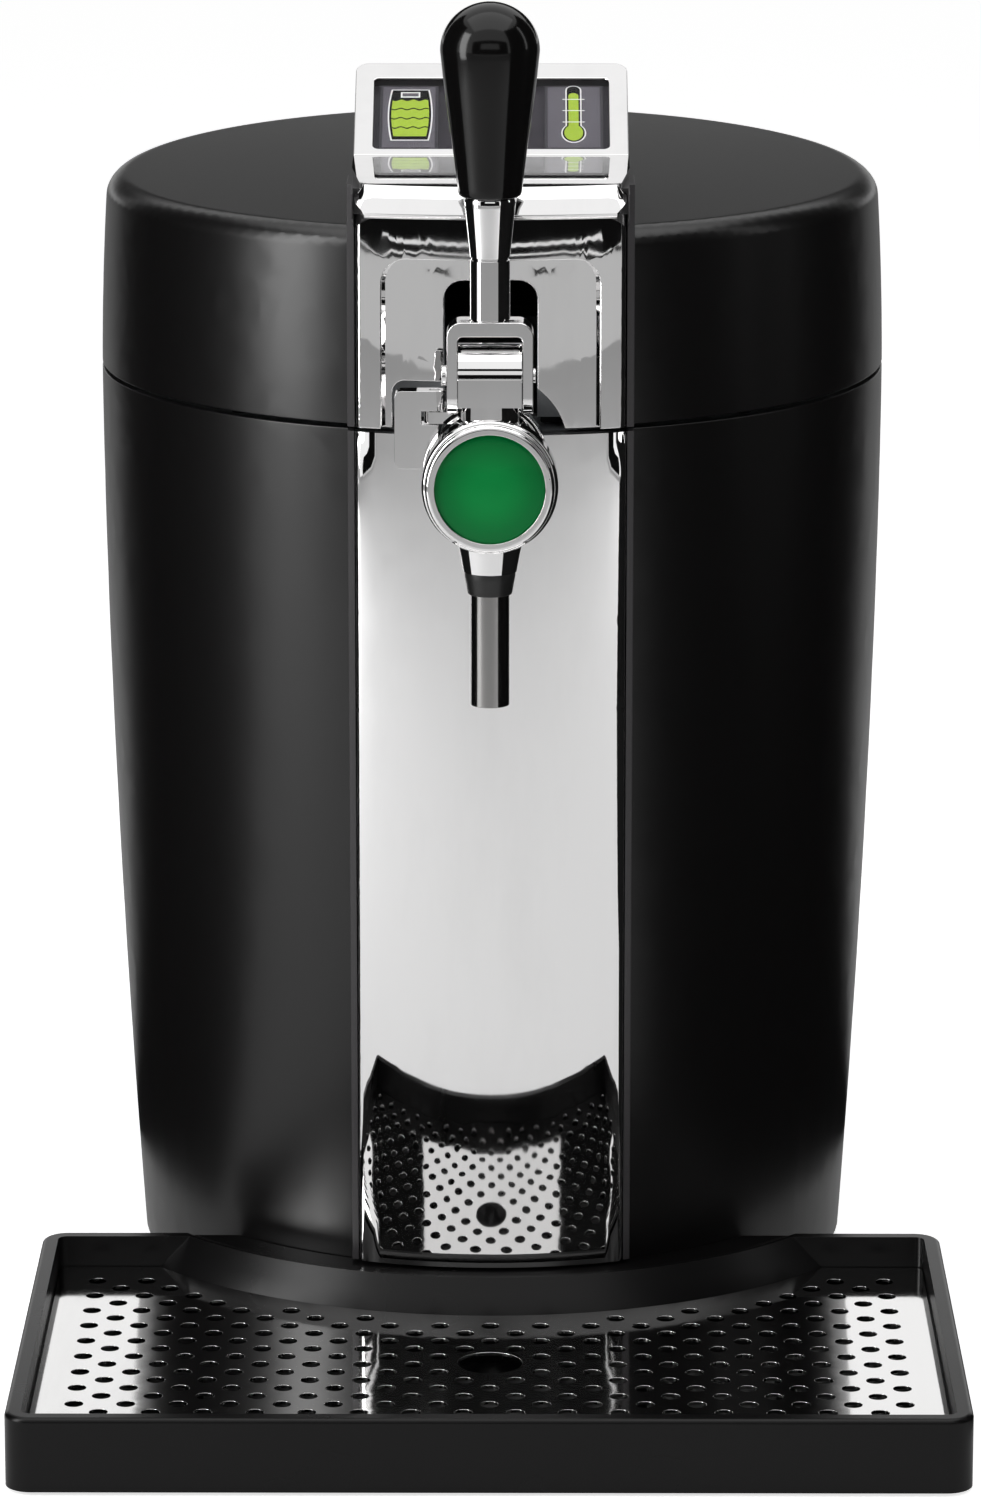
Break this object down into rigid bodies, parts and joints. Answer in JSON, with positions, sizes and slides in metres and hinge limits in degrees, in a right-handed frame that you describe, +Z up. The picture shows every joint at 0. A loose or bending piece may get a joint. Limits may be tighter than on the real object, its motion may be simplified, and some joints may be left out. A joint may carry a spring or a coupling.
{
  "type": "mini keg beer dispenser",
  "caption": "Countertop cooler for a 5 litre keg: tapered barrel body, hinged lid with a display console, lever tap on a chrome column and a pull-out drip tray.",
  "frame": {"origin": "on the table, in the middle of the footprint's bounding box", "axes": "+Z up, front of the dispenser towards -Y, +X to the right as seen from the front"},
  "size_m": [0.286, 0.4235, 0.43],
  "materials": {
    "black_satin": "satin",
    "black_tray": "satin",
    "dark_grey": "matt",
    "inner_grey": "matt",
    "foam": "matt",
    "chrome": "polished",
    "steel": "polished",
    "rubber": "matt",
    "knob_black": "gloss",
    "badge_green": "gloss",
    "smoked_window": "clear",
    "display_cell": "satin",
    "aluminium": "satin",
    "circuit_green": "satin",
    "ceramic_white": "matt",
    "brass": "satin"
  },
  "bodies": {
    "body": {"body_shell": "black_satin", "base_pan": "dark_grey", "rubber_feet": "rubber", "tray_dock": "black_tray", "keg_well": "inner_grey", "insulation_sleeve": "foam", "top_deck": "inner_grey", "lid_buffers": "rubber", "column_plate": "chrome", "column_core": "dark_grey", "column_trims": "black_satin", "tap_body": "chrome", "valve_spring": "steel", "badge_rim": "chrome", "badge_disc": "badge_green", "spout_collar": "rubber", "spout_tube": "steel", "shank_collar": "chrome", "shank_nut": "steel", "latch_pin": "steel", "hinge_base": "black_satin", "hinge_pin": "steel", "cold_block": "aluminium", "peltier_module": "ceramic_white", "heat_sink": "aluminium", "fan_frame": "dark_grey", "rear_grille": "black_satin", "rear_panel": "dark_grey", "power_inlet": "dark_grey", "inlet_blades": "brass", "switch_housing": "dark_grey", "control_board": "circuit_green", "board_parts": "dark_grey", "pan_screws": "steel", "hinge_screws": "steel"},
    "lid": {"lid_shell": "black_satin", "lid_liner": "inner_grey", "lid_foam": "foam", "lid_gasket": "rubber", "upper_panel": "chrome", "console_housing": "dark_grey", "shelf": "chrome", "display_bezel": "chrome", "display_window": "smoked_window", "keg_gauge": "display_cell", "temperature_gauge": "display_cell", "display_board": "circuit_green", "lid_leaf": "black_satin"},
    "handle": {"yoke": "chrome", "yoke_pin": "steel", "valve_cam": "steel", "stem": "chrome", "knob": "knob_black"},
    "plunger": {"valve_plunger": "steel"},
    "latch": {"tap_latch": "chrome"},
    "tray": {"drip_tray": "black_tray", "tray_pads": "rubber"},
    "grille": {"drip_grille": "steel"},
    "rocker": {"switch_rocker": "knob_black"},
    "fan": {"fan_rotor": "dark_grey"}
  },
  "joints": [
    {"name": "lid_hinge", "type": "hinge", "parent": "body", "child": "lid", "pos_m": [0, 0.20725, 0.292], "axis": [-1, 0, 0], "range_deg": [0, 80]},
    {"name": "handle_pull", "type": "hinge", "parent": "body", "child": "handle", "pos_m": [0, -0.12275, 0.319], "axis": [1, 0, 0], "range_deg": [0, 45]},
    {"name": "plunger_lift", "type": "slide", "parent": "body", "child": "plunger", "axis": [0, 0, 1], "range_m": [0, 0.0016], "deforming": ["valve_spring"]},
    {"name": "latch_swing", "type": "hinge", "parent": "body", "child": "latch", "pos_m": [-0.0165, -0.11475, 0.307], "axis": [0, 0, -1], "range_deg": [0, 60]},
    {"name": "tray_slide", "type": "slide", "parent": "body", "child": "tray", "axis": [0, -1, 0], "range_m": [0, 0.12]},
    {"name": "grille_lift", "type": "slide", "parent": "tray", "child": "grille", "axis": [0, 0, 1], "range_m": [0, 0.04]},
    {"name": "switch_rock", "type": "hinge", "parent": "body", "child": "rocker", "pos_m": [0.019, 0.17315, 0.028], "axis": [1, 0, 0], "range_deg": [-10, 10]},
    {"name": "fan_spin", "type": "hinge", "parent": "body", "child": "fan", "pos_m": [0, 0.16965, 0.15], "axis": [0, 1, 0], "continuous": true}
  ],
  "couplings": [
    {"joint": "plunger_lift", "follows": "handle_pull", "m_per_rad": 0.001783}
  ]
}
